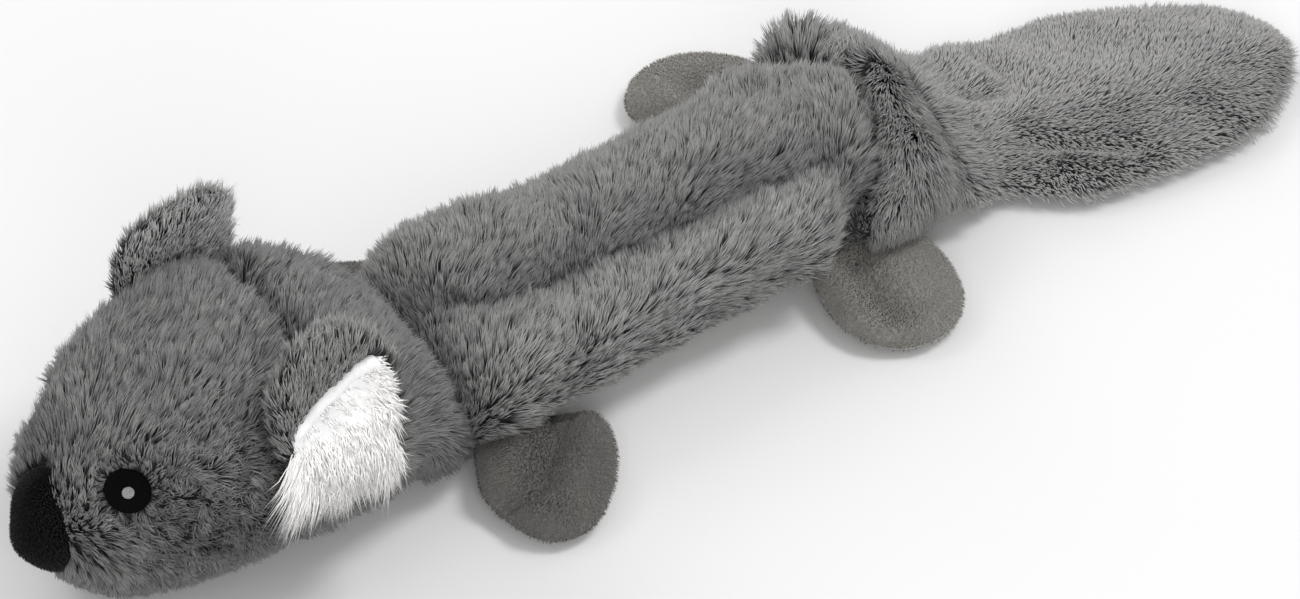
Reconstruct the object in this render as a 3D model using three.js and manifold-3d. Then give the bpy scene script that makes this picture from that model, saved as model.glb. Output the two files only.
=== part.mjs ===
// A long plush dog toy in the shape of a koala, lying on its belly with its head towards -Y.
// Lengths are in millimetres and angles in degrees. +Z is up and the toy's left side is +X.
import * as THREE from 'three';
import { mergeVertices } from 'three/addons/utils/BufferGeometryUtils.js';
import Module from 'manifold-3d';

const wasm = await Module();
wasm.setup();

// Cloth, clearances and cuts
const plushWall = 2.6;
const seamGap = 0.3;
const fitGap = 0.3;
const floorCut = 0.5;
const cutReach = 900;
const upperSquareness = 2.3;
const lowerSquareness = 2.5;

// Drawn-in joints between the stuffed lengths: where each pivots, how deep its groove is on
// either side, and how far its plane is turned from the body's own line
const neckY = -109;
const neckHeight = 24;
const neckDepth = 14;
const neckTurnLimit = 15;
const neckDropLimit = 15;
const neckRaiseLimit = 25;
const waistY = 89;
const waistHeight = 24;
const waistDepth = 14;
const waistTurn = 20;
const waistTurnLimit = 10;
const waistDropLimit = 15;
const waistRaiseLimit = 20;
const tailRootX = -2;
const tailRootY = 141;
const tailRootHeight = 7;
const tailRootDepth = 11;
const tailTurn = 19;
const jointNarrowShare = 0.18;
const jointPinchShare = 0.84;

// Head
const headLength = 150;
const headWidth = 111;
const headHeight = 90;
const headBackWidth = 88;
const headBackHeight = 57;
const faceSeamY = -166;

// Nose pad
const noseWidth = 31;
const noseHeight = 44;
const noseDepth = 30;
const noseY = -252.5;
const noseZ = 40;
const noseTilt = 8;

// Eyes
const eyeDiameter = 17;
const eyeRoot = 4;
const eyeProud = 1.5;
const eyeX = 28.5;
const eyeZ = 59;
const glintDiameter = 4.5;
const glintThickness = 0.8;

// Ears
const earHeight = 46;
const earWidth = 50;
const earThickness = 6.4;
const earCup = 6;
const earX = 55;
const earY = -168;
const earZ = 57;
const earLean = 10;
const earToe = -14;
const earBackLimit = 3;
const earFoldLimit = 70;
const earFoldShares = [0.25, 0.5, 0.75, 1];
const outerEarShare = 1.5;

// Body tube
const bodyWidth = 87;
const bodyHeight = 47.5;
const bodyEndWidth = 98;
const bellySeamHeight = 13;

// Rump
const rumpWidth = 98;
const rumpHeight = 45;
const rumpRearWidth = 86;
const rumpRearHeight = 22;
const rumpSideways = 8;

// Tail
const tailLength = 132;
const tailWidth = 97;
const tailThickness = 11.5;
const tailSideways = 11;

// Paws
const pawThickness = 7.5;
const pawRootHeight = 10;
const pawFloorGap = 0.4;
const pawDropLimit = 20;
const frontPawLiftLimit = 50;
const hindPawLiftLimit = 40;
const pawLiftShares = [1 / 3, 2 / 3, 1];
const frontPawLength = 50;
const frontPawWidth = 52;
const frontPawProud = 0.5;
const frontPawY = -82;
const frontLeftSweep = 25;
const frontRightSweep = 48;
const hindPawLength = 53;
const hindPawWidth = 50;
const hindLeftProud = -6;
const hindRightProud = 2.4;
const hindLeftBack = 11;
const hindRightBack = 0;
const hindLeftSweep = 14;
const hindRightSweep = 20;

// Squeakers
const bodySqueakerDiameter = 42;
const bodySqueakerHeight = 20;
const bodySqueakerY = -18;
const headSqueakerDiameter = 36;
const headSqueakerHeight = 18;
const headSqueakerY = -188;
const squeakerSeatGap = 0.7;
const bellowsWall = 1.2;
const bellowsPleat = 3.5;
const bellowsRound = 4;
const mouthDiameter = 13;
const plugBore = 6;
const plugFlange = 3;
const plugFlangeThickness = 1.6;
const plugReach = 4;
const reedThickness = 0.5;
const reedSlit = 1.2;

// Facets
const bodySteps = 22;
const flapSteps = 16;
const smallRoundSteps = 16;
const cupSteps = 6;

const grey = new THREE.MeshStandardMaterial({ color: 0x6b6c6e, roughness: 0.95 });
const velboa = new THREE.MeshStandardMaterial({ color: 0x77726f, roughness: 0.9 });
const white = new THREE.MeshStandardMaterial({ color: 0xf2f1ef, roughness: 0.95 });
const black = new THREE.MeshStandardMaterial({ color: 0x161617, roughness: 0.85 });
const thread = new THREE.MeshStandardMaterial({ color: 0xb9bcc0, roughness: 0.6 });
const wadding = new THREE.MeshStandardMaterial({ color: 0xe9e8e4, roughness: 1.0 });
const blownPlastic = new THREE.MeshStandardMaterial({ color: 0xdfe3e6, roughness: 0.4 });
const hardPlastic = new THREE.MeshStandardMaterial({ color: 0xf0efe8, roughness: 0.3 });

const toy = new THREE.Group();
const radians = THREE.MathUtils.degToRad;

// Solids and the pieces made from them

function solidFrom(positions, triangles) {
  return new wasm.Manifold(new wasm.Mesh({
    numProp: 3,
    vertProperties: new Float32Array(positions),
    triVerts: new Uint32Array(triangles),
  }));
}

function solidOf(geometry) {
  geometry.deleteAttribute('normal');
  geometry.deleteAttribute('uv');
  const merged = mergeVertices(geometry);
  return solidFrom(merged.attributes.position.array, merged.index.array);
}

function geometryOf(solid) {
  const mesh = solid.getMesh();
  const geometry = new THREE.BufferGeometry();
  geometry.setAttribute('position', new THREE.BufferAttribute(mesh.vertProperties, mesh.numProp));
  geometry.setIndex(new THREE.BufferAttribute(mesh.triVerts, 1));
  return geometry;
}

function movedSolid(solid, matrix) {
  return solidOf(geometryOf(solid).applyMatrix4(matrix));
}

function addPiece(name, solid, material, parent = toy) {
  const geometry = geometryOf(solid);
  geometry.computeVertexNormals();
  const mesh = new THREE.Mesh(geometry, material);
  mesh.name = name;
  parent.add(mesh);
}

function boxSolid(low, high) {
  const size = high.clone().sub(low);
  const middle = high.clone().add(low).divideScalar(2);
  const box = new THREE.BoxGeometry(size.x, size.y, size.z);
  box.translate(middle.x, middle.y, middle.z);
  return solidOf(box);
}

// The part of a solid below or above a plane across one axis, less half of the gap at the seam
function partBelow(solid, axis, at, gap = seamGap) {
  const high = new THREE.Vector3(cutReach, cutReach, cutReach);
  high[axis] = at - gap / 2;
  return solid.intersect(boxSolid(new THREE.Vector3(-cutReach, -cutReach, -cutReach), high));
}

function partAbove(solid, axis, at, gap = seamGap) {
  const low = new THREE.Vector3(-cutReach, -cutReach, -cutReach);
  low[axis] = at + gap / 2;
  return solid.intersect(boxSolid(low, new THREE.Vector3(cutReach, cutReach, cutReach)));
}

function onFloor(solid) {
  return partAbove(solid, 'z', 0, 0);
}

// Stuffed forms

function signedPower(value, power) {
  return Math.sign(value) * Math.abs(value) ** power;
}

// A ring has its middle, its half width, its lowest and highest place and its turn about Z.
// A ring at a closed end also has the way that end faces, -1 or 1, along the form.
function ringPoints(ring, grow, steps) {
  const turn = radians(ring.turn);
  const shift = (ring.end || 0) * grow;
  const x = ring.x + Math.sin(turn) * shift;
  const y = ring.y + Math.cos(turn) * shift;
  const z = (ring.low + ring.high) / 2;
  const half = Math.max(ring.half + grow, ring.half / 2);
  const rise = Math.max((ring.high - ring.low) / 2 + grow, (ring.high - ring.low) / 4);
  const points = [];
  for (let step = 0; step < steps; step += 1) {
    const angle = (2 * Math.PI * step) / steps;
    const squareness = Math.sin(angle) < 0 ? lowerSquareness : upperSquareness;
    const across = half * signedPower(Math.cos(angle), 2 / squareness);
    const up = rise * signedPower(Math.sin(angle), 2 / squareness);
    points.push([x + Math.cos(turn) * across, y - Math.sin(turn) * across, z + up]);
  }
  return { points, middle: [x, y, z] };
}

// A closed loft through rings that follow each other along +Y, grown or shrunk all round
function stuffed(rings, grow = 0, steps = bodySteps) {
  const lofted = rings.map((ring) => ringPoints(ring, grow, steps));
  const points = lofted.flatMap((ring) => ring.points);
  const faces = [];
  const lastRow = (rings.length - 1) * steps;
  const first = points.length;
  const last = first + 1;
  points.push(lofted[0].middle, lofted[lofted.length - 1].middle);
  for (let step = 0; step < steps; step += 1) {
    const next = (step + 1) % steps;
    for (let row = 0; row < lastRow; row += steps) {
      faces.push([row + step, row + steps + next, row + next]);
      faces.push([row + step, row + steps + step, row + steps + next]);
    }
    faces.push([first, step, next], [last, lastRow + next, lastRow + step]);
  }
  return solidFrom(points.flat(), faces.flat());
}

// Adds a ring between each two inner ones, on a smooth curve through their sizes
function smoothed(rings) {
  const result = [];
  rings.forEach((ring, index) => {
    result.push(ring);
    if (index > 1 && index + 3 < rings.length) {
      const between = {};
      for (const key of ['x', 'y', 'turn', 'half', 'low', 'high']) {
        const [a, b, c, d] = [-1, 0, 1, 2].map((offset) => rings[index + offset][key]);
        between[key] = (9 * (b + c) - a - d) / 16;
      }
      result.push(between);
    }
  });
  return result;
}

// A drawn-in joint has two ends that taper towards its pivot, each to a small round, so that
// they can lean towards each other. Side is -1 for the length before the joint, 1 for the next.
function jointEnd(joint, side, rim) {
  const turn = radians(joint.turn);
  const ringAt = (along, sideways) => ({
    x: joint.x + Math.sin(turn) * along + Math.cos(turn) * sideways,
    y: joint.y + Math.cos(turn) * along - Math.sin(turn) * sideways,
    turn: joint.turn,
    end: -side,
  });
  const narrow = {
    ...ringAt(side * joint.depth * jointNarrowShare, 0),
    half: rim.half * jointNarrowShare,
    low: joint.z + (rim.low - joint.z) * jointNarrowShare,
    high: joint.z + (rim.high - joint.z) * jointNarrowShare,
  };
  const wide = {
    ...ringAt(side * joint.depth, rim.sideways || 0),
    half: rim.half,
    low: rim.low,
    high: rim.high,
  };
  return side < 0 ? [wide, narrow] : [narrow, wide];
}

const neckJoint = { x: 0, y: neckY, z: neckHeight, depth: neckDepth, turn: 0 };
const waistJoint = { x: 0, y: waistY, z: waistHeight, depth: waistDepth, turn: waistTurn };
const tailJoint = {
  x: tailRootX, y: tailRootY, z: tailRootHeight, depth: tailRootDepth, turn: tailTurn,
};

// Head, from the muzzle to the neck: shares of its length, of its half width, and of its
// height for the lowest and the highest place
const headRingShares = [
  [0, 0.16, 0.29, 0.52],
  [0.035, 0.36, 0.16, 0.635],
  [0.1, 0.55, 0.06, 0.735],
  [0.2, 0.735, 0, 0.835],
  [0.35, 0.925, 0, 0.965],
  [0.5, 1, 0, 1],
  [0.66, 0.985, 0, 0.968],
  [0.8, 0.92, 0, 0.845],
];
const headRings = smoothed([
  ...headRingShares.map(([along, side, low, high], index) => ({
    x: 0,
    y: neckY - headLength * (1 - along),
    turn: 0,
    half: (side * headWidth) / 2,
    low: low * headHeight - floorCut,
    high: high * headHeight,
    end: index < 2 ? -1 : 0,
  })),
  ...jointEnd(neckJoint, -1, { half: headBackWidth / 2, low: -floorCut, high: headBackHeight }),
]);

// Body, from the neck to the waist: shares of the way between its rims, of the turn at the
// waist, of its half width and of its height
const bodyRingShares = [
  [0.06, 0, 1.01, 1.05],
  [0.22, 0, 0.995, 1.05],
  [0.42, 0, 1, 1.02],
  [0.62, 0.1, 1.015, 1.02],
  [0.8, 0.4, 1.06, 1.02],
  [0.92, 0.75, 1.1, 1],
];
const bodyFront = jointEnd(neckJoint, 1, { half: bodyWidth / 2, low: -floorCut, high: bodyHeight });
const bodyRear = jointEnd(waistJoint, -1, {
  half: bodyEndWidth / 2, low: -floorCut, high: bodyHeight,
});
const bodyRings = [
  ...bodyFront,
  ...bodyRingShares.map(([along, turned, side, tall]) => ({
    x: bodyRear[0].x * turned,
    y: bodyFront[1].y + (bodyRear[0].y - bodyFront[1].y) * along,
    turn: waistTurn * turned,
    half: (side * bodyWidth) / 2,
    low: -floorCut,
    high: tall * bodyHeight,
  })),
  ...bodyRear,
];

// Rump, from the waist to the tail: shares of the way, of its half width and of its fall
const rumpRingShares = [
  [0.35, 1.03, 0.14],
  [0.7, 1.03, 0.58],
];
const rumpFront = jointEnd(waistJoint, 1, {
  half: rumpWidth / 2, low: -floorCut, high: rumpHeight, sideways: -rumpSideways,
});
const rumpRear = jointEnd(tailJoint, -1, {
  half: rumpRearWidth / 2, low: -floorCut, high: rumpRearHeight,
});
const rumpRings = [
  ...rumpFront,
  ...rumpRingShares.map(([along, side, fall]) => ({
    x: rumpFront[1].x + (rumpRear[0].x - rumpFront[1].x) * along,
    y: rumpFront[1].y + (rumpRear[0].y - rumpFront[1].y) * along,
    turn: waistTurn + (tailTurn - waistTurn) * along,
    half: (side * (rumpWidth + (rumpRearWidth - rumpWidth) * along)) / 2,
    low: -floorCut,
    high: rumpHeight + (rumpRearHeight - rumpHeight) * fall,
  })),
  ...rumpRear,
];

// Tail, from its root to its tip: shares of its length, of its half width, of its lean to the
// left and of its thickness
const tailRingShares = [
  [0.2, 0.96, 0.1, 1],
  [0.35, 1, 0.06, 0.96],
  [0.52, 0.97, -0.08, 0.92],
  [0.7, 0.86, -0.18, 0.92],
  [0.84, 0.66, -0.44, 0.9],
  [0.94, 0.43, -0.78, 0.8],
  [1, 0.18, -1, 0.5],
];
const tailFront = jointEnd(tailJoint, 1, {
  half: rumpRearWidth / 2, low: -floorCut, high: tailThickness,
});
const tailRings = [
  ...tailFront,
  ...tailRingShares.map(([along, side, lean, thick]) => {
    const turn = radians(tailTurn);
    const reach = along * tailLength;
    const sideways = lean * tailSideways;
    return {
      x: tailRootX + Math.sin(turn) * reach + Math.cos(turn) * sideways,
      y: tailRootY + Math.cos(turn) * reach - Math.sin(turn) * sideways,
      turn: tailTurn,
      half: (side * tailWidth) / 2,
      low: -floorCut,
      high: thick * tailThickness,
    };
  }),
];

// Squeakers: a pleated blown bulb with an open mouth below, a plug in the mouth and a reed on it

function latheSolid(profile, place) {
  const points = profile.map(([radius, height]) => new THREE.Vector2(radius, height));
  const lathe = new THREE.LatheGeometry(points, smallRoundSteps);
  lathe.rotateX(Math.PI / 2);
  lathe.translate(place.x, place.y, place.z);
  return solidOf(lathe);
}

function bellowsSolid(diameter, height, place) {
  const outer = diameter / 2;
  const inner = outer - bellowsWall;
  const mouth = mouthDiameter / 2;
  return latheSolid([
    [0, height - bellowsWall],
    [inner - bellowsRound, height - bellowsWall],
    [inner, height - bellowsRound],
    [inner - bellowsPleat, height / 2],
    [inner, bellowsRound],
    [inner - bellowsRound, bellowsWall],
    [mouth, bellowsWall],
    [mouth, 0],
    [outer - bellowsRound, 0],
    [outer, bellowsRound],
    [outer - bellowsPleat, height / 2],
    [outer, height - bellowsRound],
    [outer - bellowsRound, height],
    [0, height],
  ], place);
}

function plugSolid(place) {
  const bore = plugBore / 2;
  const barrel = mouthDiameter / 2 - fitGap;
  const flange = mouthDiameter / 2 + plugFlange;
  const flangeBase = -fitGap - plugFlangeThickness;
  return latheSolid([
    [bore, flangeBase],
    [flange, flangeBase],
    [flange, -fitGap],
    [barrel, -fitGap],
    [barrel, plugReach],
    [bore, plugReach],
    [bore, flangeBase],
  ], place);
}

// The reed is a disc with a slit from its middle to its edge.
function reedSolid(place) {
  const seat = plugReach + seamGap;
  const top = seat + reedThickness;
  const radius = (plugBore + mouthDiameter) / 4;
  const disc = latheSolid([[0, seat], [radius, seat], [radius, top], [0, top]], place);
  const slitLow = new THREE.Vector3(-reedSlit / 2, 0, seat - reedThickness).add(place);
  const slitHigh = new THREE.Vector3(reedSlit / 2, mouthDiameter, top + reedThickness).add(place);
  return disc.subtract(boxSolid(slitLow, slitHigh));
}

function addSqueaker(name, diameter, height, place) {
  addPiece(`${name}_squeaker_bellows`, bellowsSolid(diameter, height, place), blownPlastic);
  addPiece(`${name}_squeaker_plug`, plugSolid(place), hardPlastic);
  addPiece(`${name}_squeaker_reed`, reedSolid(place), hardPlastic);
}

// The pocket in the wadding is open below, where the cover closes it.
function squeakerPocket(diameter, height, place) {
  const radius = diameter / 2 + fitGap / Math.cos(Math.PI / smallRoundSteps);
  const top = height + fitGap;
  return latheSolid([[0, -cutReach], [radius, -cutReach], [radius, top], [0, top]], place);
}

function squeakerPlace(y) {
  const seat = plushWall - floorCut + squeakerSeatGap + plugFlangeThickness + fitGap;
  return new THREE.Vector3(0, y, seat);
}

// Stuffed lengths and their covers

function coverShell(rings) {
  return onFloor(stuffed(rings)).subtract(stuffed(rings, -plushWall));
}

function fillingOf(rings) {
  return stuffed(rings, -plushWall - fitGap);
}

function buildHead() {
  const shell = coverShell(headRings);
  const place = squeakerPlace(headSqueakerY);
  const pocket = squeakerPocket(headSqueakerDiameter, headSqueakerHeight, place);
  addPiece('face_cover', partBelow(shell, 'y', faceSeamY), grey);
  addPiece('head_back_cover', partAbove(shell, 'y', faceSeamY), grey);
  addPiece('head_filling', fillingOf(headRings).subtract(pocket), wadding);
  addSqueaker('head', headSqueakerDiameter, headSqueakerHeight, place);
}

function buildBody() {
  const shell = coverShell(bodyRings);
  const place = squeakerPlace(bodySqueakerY);
  const pocket = squeakerPocket(bodySqueakerDiameter, bodySqueakerHeight, place);
  addPiece('back_cover', partAbove(shell, 'z', bellySeamHeight), grey);
  addPiece('belly_panel', partBelow(shell, 'z', bellySeamHeight), velboa);
  addPiece('body_filling', fillingOf(bodyRings).subtract(pocket), wadding);
  addSqueaker('body', bodySqueakerDiameter, bodySqueakerHeight, place);
}

function buildRump() {
  const shell = coverShell(rumpRings);
  addPiece('rump_cover', partAbove(shell, 'z', bellySeamHeight), grey);
  addPiece('rump_belly', partBelow(shell, 'z', bellySeamHeight), velboa);
  addPiece('rump_filling', fillingOf(rumpRings), wadding);
}

function buildTail() {
  const whole = onFloor(stuffed(tailRings));
  addPiece('tail_top_panel', partAbove(whole, 'z', tailThickness / 2), grey);
  addPiece('tail_under_panel', partBelow(whole, 'z', tailThickness / 2), grey);
}

// A sleeve fills the groove at a joint and is drawn in at its middle.
function sleeveRings(joint, before, after, inset) {
  const shrunk = (ring) => ({
    ...ring,
    half: ring.half - inset - fitGap,
    low: Math.max(ring.low, 0) + inset + fitGap,
    high: ring.high - inset - fitGap,
    end: 0,
  });
  const low = Math.max(before.low, after.low, 0);
  const high = Math.min(before.high, after.high);
  const pinch = {
    x: (before.x + after.x) / 2,
    y: (before.y + after.y) / 2,
    turn: joint.turn,
    half: ((before.half + after.half) / 2) * jointPinchShare - inset,
    low: joint.z + (low - joint.z) * jointPinchShare + inset,
    high: joint.z + (high - joint.z) * jointPinchShare - inset,
  };
  return [shrunk(before), pinch, shrunk(after)];
}

function buildSleeve(name, joint, beforeRings, afterRings) {
  const before = beforeRings[beforeRings.length - 2];
  const after = afterRings[1];
  const ends = stuffed(beforeRings, fitGap).add(stuffed(afterRings, fitGap));
  const outer = stuffed(sleeveRings(joint, before, after, 0));
  const inner = stuffed(sleeveRings(joint, before, after, plushWall));
  const core = stuffed(sleeveRings(joint, before, after, plushWall + fitGap));
  addPiece(`${name}_cover`, outer.subtract(inner).subtract(ends), grey);
  addPiece(`${name}_filling`, core.subtract(ends), wadding);
}

// Nose and eyes

function buildNose() {
  const pad = new THREE.SphereGeometry(1 / 2, smallRoundSteps, smallRoundSteps / 2);
  pad.scale(noseWidth, noseDepth, noseHeight);
  pad.rotateX(radians(noseTilt));
  pad.translate(0, noseY, noseZ);
  addPiece('nose_pad', solidOf(pad).subtract(stuffed(headRings, fitGap)), black);
}

// The place on the face in front of a point, and the way the cloth faces there
function onFace(x, z) {
  const head = new THREE.Mesh(geometryOf(stuffed(headRings)), grey);
  const start = new THREE.Vector3(x, -cutReach, z);
  const [hit] = new THREE.Raycaster(start, new THREE.Vector3(0, 1, 0)).intersectObject(head);
  return { point: hit.point, normal: hit.face.normal };
}

function buildEye(name, side) {
  const seat = onFace(side * eyeX, eyeZ);
  const facing = new THREE.Quaternion();
  facing.setFromUnitVectors(new THREE.Vector3(0, 1, 0), seat.normal);
  const disc = (diameter, near, far) => {
    const round = new THREE.CylinderGeometry(diameter / 2, diameter / 2, far - near, smallRoundSteps);
    round.translate(0, (near + far) / 2, 0);
    round.applyQuaternion(facing);
    round.translate(seat.point.x, seat.point.y, seat.point.z);
    return solidOf(round);
  };
  const glintSeat = eyeProud + seamGap;
  const patch = disc(eyeDiameter, -eyeRoot, eyeProud).subtract(stuffed(headRings, fitGap));
  addPiece(`eye_${name}`, patch, black);
  addPiece(`eye_${name}_glint`, disc(glintDiameter, glintSeat, glintSeat + glintThickness), thread);
}

// Flaps: ears and paws lie in the XY plane of their own group, with the root at y = 0. Shares
// are of their length, of their half width and of their thickness.

function flapSolid(shares, length, width, thickness) {
  return stuffed(shares.map(([along, side, thick]) => ({
    x: 0,
    y: along * length,
    turn: 0,
    half: (side * width) / 2,
    low: (-thick * thickness) / 2,
    high: (thick * thickness) / 2,
  })), 0, flapSteps);
}

function flapGroup(position, outward, up) {
  const across = outward.clone().cross(up);
  const group = new THREE.Group();
  group.position.copy(position);
  group.quaternion.setFromRotationMatrix(new THREE.Matrix4().makeBasis(across, outward, up));
  group.updateMatrixWorld();
  toy.add(group);
  return group;
}

const earRingShares = [
  [-0.055, 0.66, 0.5],
  [0, 0.76, 1],
  [0.16, 0.89, 1],
  [0.4, 1, 1],
  [0.65, 0.97, 1],
  [0.85, 0.76, 0.95],
  [0.95, 0.52, 0.85],
  [1, 0.2, 0.5],
];

// The ear's sides curl outwards, more towards its tip.
function cupped(geometry) {
  const position = geometry.attributes.position;
  for (let index = 0; index < position.count; index += 1) {
    const across = position.getX(index) / (earWidth / 2);
    const along = THREE.MathUtils.clamp(position.getY(index) / earHeight, 0, 1);
    position.setZ(index, position.getZ(index) + earCup * along * across ** 2);
  }
  return solidOf(geometry);
}

// All that lies further out than a level near the seam between the ear's two cloths
function outerEar(level) {
  const block = new THREE.BoxGeometry(
    earWidth * outerEarShare, earHeight * outerEarShare, earHeight, cupSteps, cupSteps, 1,
  );
  return cupped(block.translate(0, earHeight / 2, level + earHeight / 2));
}

function buildEar(name, side) {
  const lean = radians(earLean);
  const toe = new THREE.Matrix4().makeRotationZ(radians(side * earToe));
  const upward = new THREE.Vector3(-side * Math.sin(lean), 0, Math.cos(lean));
  const outward = new THREE.Vector3(side * Math.cos(lean), 0, Math.sin(lean));
  const root = new THREE.Vector3(side * earX, earY, earZ);
  const ear = flapGroup(root, upward.applyMatrix4(toe), outward.applyMatrix4(toe));
  const flat = flapSolid(earRingShares, earHeight, earWidth, earThickness);
  const head = movedSolid(stuffed(headRings, fitGap), ear.matrixWorld.clone().invert());
  const fold = new THREE.Vector3(1, 0, 0);
  let cutter = head;
  for (const angle of [-earBackLimit, ...earFoldShares.map((share) => share * earFoldLimit)]) {
    cutter = cutter.add(turnedAbout(head, new THREE.Vector3(), fold, -angle));
  }
  const flap = cupped(geometryOf(flat)).subtract(cutter);
  addPiece(`ear_${name}_lining`, flap.intersect(outerEar(seamGap / 2)), white, ear);
  addPiece(`ear_${name}_back`, flap.subtract(outerEar(-seamGap / 2)), grey, ear);
}

const pawRingShares = [
  [-0.14, 0.6, 0.6],
  [-0.04, 0.8, 0.95],
  [0.12, 0.92, 1],
  [0.35, 1, 1],
  [0.6, 1, 1],
  [0.8, 0.86, 1],
  [0.93, 0.6, 0.92],
  [1, 0.26, 0.5],
];

function turnedAbout(solid, point, axis, angle) {
  const move = new THREE.Matrix4().makeTranslation(point.x, point.y, point.z);
  move.multiply(new THREE.Matrix4().makeRotationAxis(axis, radians(angle)));
  move.multiply(new THREE.Matrix4().makeTranslation(-point.x, -point.y, -point.z));
  return movedSolid(solid, move);
}

// A length as it stands when the joint that carries it is tilted and turned
function posed(rings, joint, turn, tilt) {
  const own = radians(joint.turn);
  const across = new THREE.Vector3(Math.cos(own), -Math.sin(own), 0);
  const tilted = turnedAbout(stuffed(rings, fitGap), joint, across, tilt);
  return turnedAbout(tilted, joint, new THREE.Vector3(0, 0, 1), turn);
}

// The root leaves the side seam at its own height, and the paw droops until it is on the floor.
// All round its root the paw is cut clear of its neighbours, over all of its own lift.
function buildPaw(name, paw, neighbours) {
  const drop = pawRootHeight - pawThickness / 2 - pawFloorGap;
  const droop = Math.asin(drop / paw.length);
  const out = radians(paw.bearing);
  const outward = new THREE.Vector3(
    Math.cos(out) * Math.cos(droop), Math.sin(out) * Math.cos(droop), -Math.sin(droop),
  );
  const up = new THREE.Vector3(
    Math.cos(out) * Math.sin(droop), Math.sin(out) * Math.sin(droop), Math.cos(droop),
  );
  const root = new THREE.Vector3(paw.x, paw.y, pawRootHeight);
  const group = flapGroup(root, outward, up);
  const hinge = new THREE.Vector3(0, -paw.side, 0);
  let cutter = neighbours;
  for (const lift of [-pawDropLimit, ...pawLiftShares.map((share) => share * paw.lift)]) {
    cutter = cutter.add(turnedAbout(neighbours, root, hinge, -lift));
  }
  const flap = flapSolid(pawRingShares, paw.length, paw.width, pawThickness);
  const whole = flap.subtract(movedSolid(cutter, group.matrixWorld.clone().invert()));
  addPiece(`${name}_paw_upper`, partAbove(whole, 'z', 0), velboa, group);
  addPiece(`${name}_paw_sole`, partBelow(whole, 'z', 0), velboa, group);
}

// The front paws are sewn to the body, clear of the head at the ends of its turn and nod.
function buildFrontPaws() {
  const neck = sleeveRings(neckJoint, headRings[headRings.length - 2], bodyRings[1], 0);
  let neighbours = stuffed(bodyRings, fitGap).add(stuffed(neck, fitGap));
  for (const turn of [-neckTurnLimit, neckTurnLimit]) {
    for (const tilt of [0, neckDropLimit, -neckRaiseLimit]) {
      neighbours = neighbours.add(posed(headRings, neckJoint, turn, tilt));
    }
  }
  const sweeps = { front_left: frontLeftSweep, front_right: frontRightSweep };
  for (const [name, side] of [['front_left', 1], ['front_right', -1]]) {
    buildPaw(name, {
      side,
      x: side * (bodyWidth / 2 + frontPawProud),
      y: frontPawY,
      bearing: 90 - side * (90 + sweeps[name]),
      length: frontPawLength,
      width: frontPawWidth,
      lift: frontPawLiftLimit,
    }, neighbours);
  }
}

// The hind paws are sewn to the rear of the body, clear of the waist and the rump at the ends of
// their turn and fold.
function buildHindPaws() {
  const end = bodyRear[0];
  const turn = radians(waistTurn);
  const waist = sleeveRings(waistJoint, bodyRings[bodyRings.length - 2], rumpRings[1], 0);
  const sleeves = [];
  const rumps = [];
  for (const angle of [-waistTurnLimit, 0, waistTurnLimit]) {
    sleeves.push(posed(waist, waistJoint, angle, 0));
    for (const tilt of [-waistDropLimit, 0, waistRaiseLimit]) {
      rumps.push(posed(rumpRings, waistJoint, angle, tilt));
    }
  }
  const swept = wasm.Manifold.hull(sleeves).add(wasm.Manifold.hull(rumps));
  const neighbours = stuffed(bodyRings, fitGap).add(swept);
  for (const [name, side, proud, back, sweep] of [
    ['hind_left', 1, hindLeftProud, hindLeftBack, hindLeftSweep],
    ['hind_right', -1, hindRightProud, hindRightBack, hindRightSweep],
  ]) {
    buildPaw(name, {
      side,
      x: end.x + side * Math.cos(turn) * (end.half + proud),
      y: end.y - side * Math.sin(turn) * (end.half + proud) + back,
      bearing: 90 - side * (90 + sweep),
      length: hindPawLength,
      width: hindPawWidth,
      lift: hindPawLiftLimit,
    }, neighbours);
  }
}

buildHead();
buildNose();
for (const [name, side] of [['left', 1], ['right', -1]]) {
  buildEye(name, side);
  buildEar(name, side);
}
buildSleeve('neck', neckJoint, headRings, bodyRings);
buildBody();
buildSleeve('waist', waistJoint, bodyRings, rumpRings);
buildRump();
buildSleeve('tail_root', tailJoint, rumpRings, tailRings);
buildTail();
buildFrontPaws();
buildHindPaws();

// The origin is on the floor below the middle of the toy's box.
const size = new THREE.Box3().setFromObject(toy);
const middle = size.getCenter(new THREE.Vector3());
toy.position.set(-middle.x, -middle.y, 0);

export default toy;
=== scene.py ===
import math

import bpy
import numpy as np
from mathutils import Matrix, kdtree


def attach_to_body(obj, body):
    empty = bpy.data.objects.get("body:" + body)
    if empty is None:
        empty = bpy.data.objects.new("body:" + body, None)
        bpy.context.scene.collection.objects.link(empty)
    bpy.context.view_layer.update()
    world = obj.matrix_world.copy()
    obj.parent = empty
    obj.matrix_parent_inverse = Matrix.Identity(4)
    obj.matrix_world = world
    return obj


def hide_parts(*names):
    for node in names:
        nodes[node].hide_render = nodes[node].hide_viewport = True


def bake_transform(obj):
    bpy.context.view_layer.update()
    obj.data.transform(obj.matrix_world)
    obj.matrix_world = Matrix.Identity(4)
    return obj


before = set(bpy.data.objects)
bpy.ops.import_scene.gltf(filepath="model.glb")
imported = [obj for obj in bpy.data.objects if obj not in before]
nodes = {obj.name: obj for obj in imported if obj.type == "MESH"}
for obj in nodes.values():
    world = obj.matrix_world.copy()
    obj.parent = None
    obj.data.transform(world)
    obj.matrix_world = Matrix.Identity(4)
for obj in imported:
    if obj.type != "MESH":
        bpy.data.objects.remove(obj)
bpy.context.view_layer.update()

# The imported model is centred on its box, which moves the source's origin by this much.
SHIFT = np.array([5.576, -2.418, 0.0])
FUR_UV = "OFBake"


def metres(points):
    return (np.asarray(points, float) + SHIFT) / 1000


def add_object(name, data):
    item = bpy.data.objects.new(name, data)
    bpy.context.scene.collection.objects.link(item)
    return item


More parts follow.
